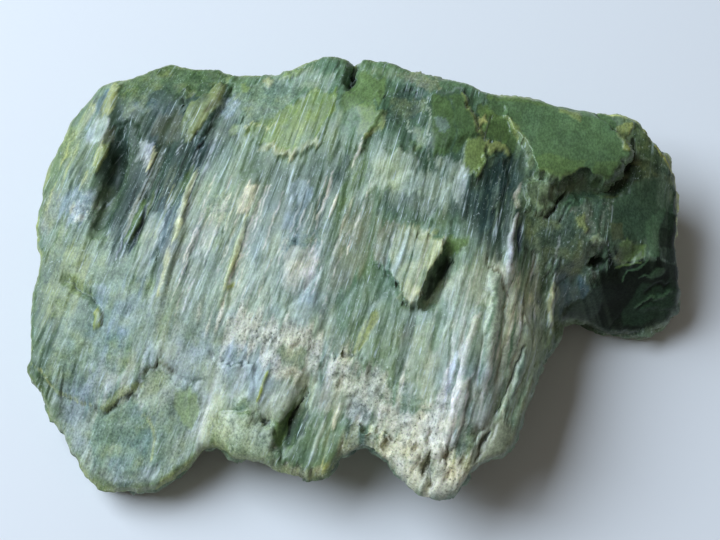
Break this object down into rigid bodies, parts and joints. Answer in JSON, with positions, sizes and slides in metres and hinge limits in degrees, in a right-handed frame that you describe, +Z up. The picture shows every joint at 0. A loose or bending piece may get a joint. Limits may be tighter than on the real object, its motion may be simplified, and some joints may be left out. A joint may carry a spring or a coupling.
{
  "type": "raw serpentine stone",
  "caption": "Flat, wedge-shaped piece of raw fibrous serpentine rock with torn edges, splintery ridges and waxy ledges; lies on its underside.",
  "frame": {"origin": "centre of the bounding box in plan, on the plane that the stone rests on", "axes": "+X along the length, from the thin end to the thick end; +Y across, the way the fibres run; +Z up"},
  "size_m": [0.0935, 0.0643, 0.0232],
  "materials": {
    "serpentine": "waxy to splintery broken surface, satin"
  },
  "bodies": {
    "root": {"serpentine": "serpentine"}
  },
  "joints": []
}
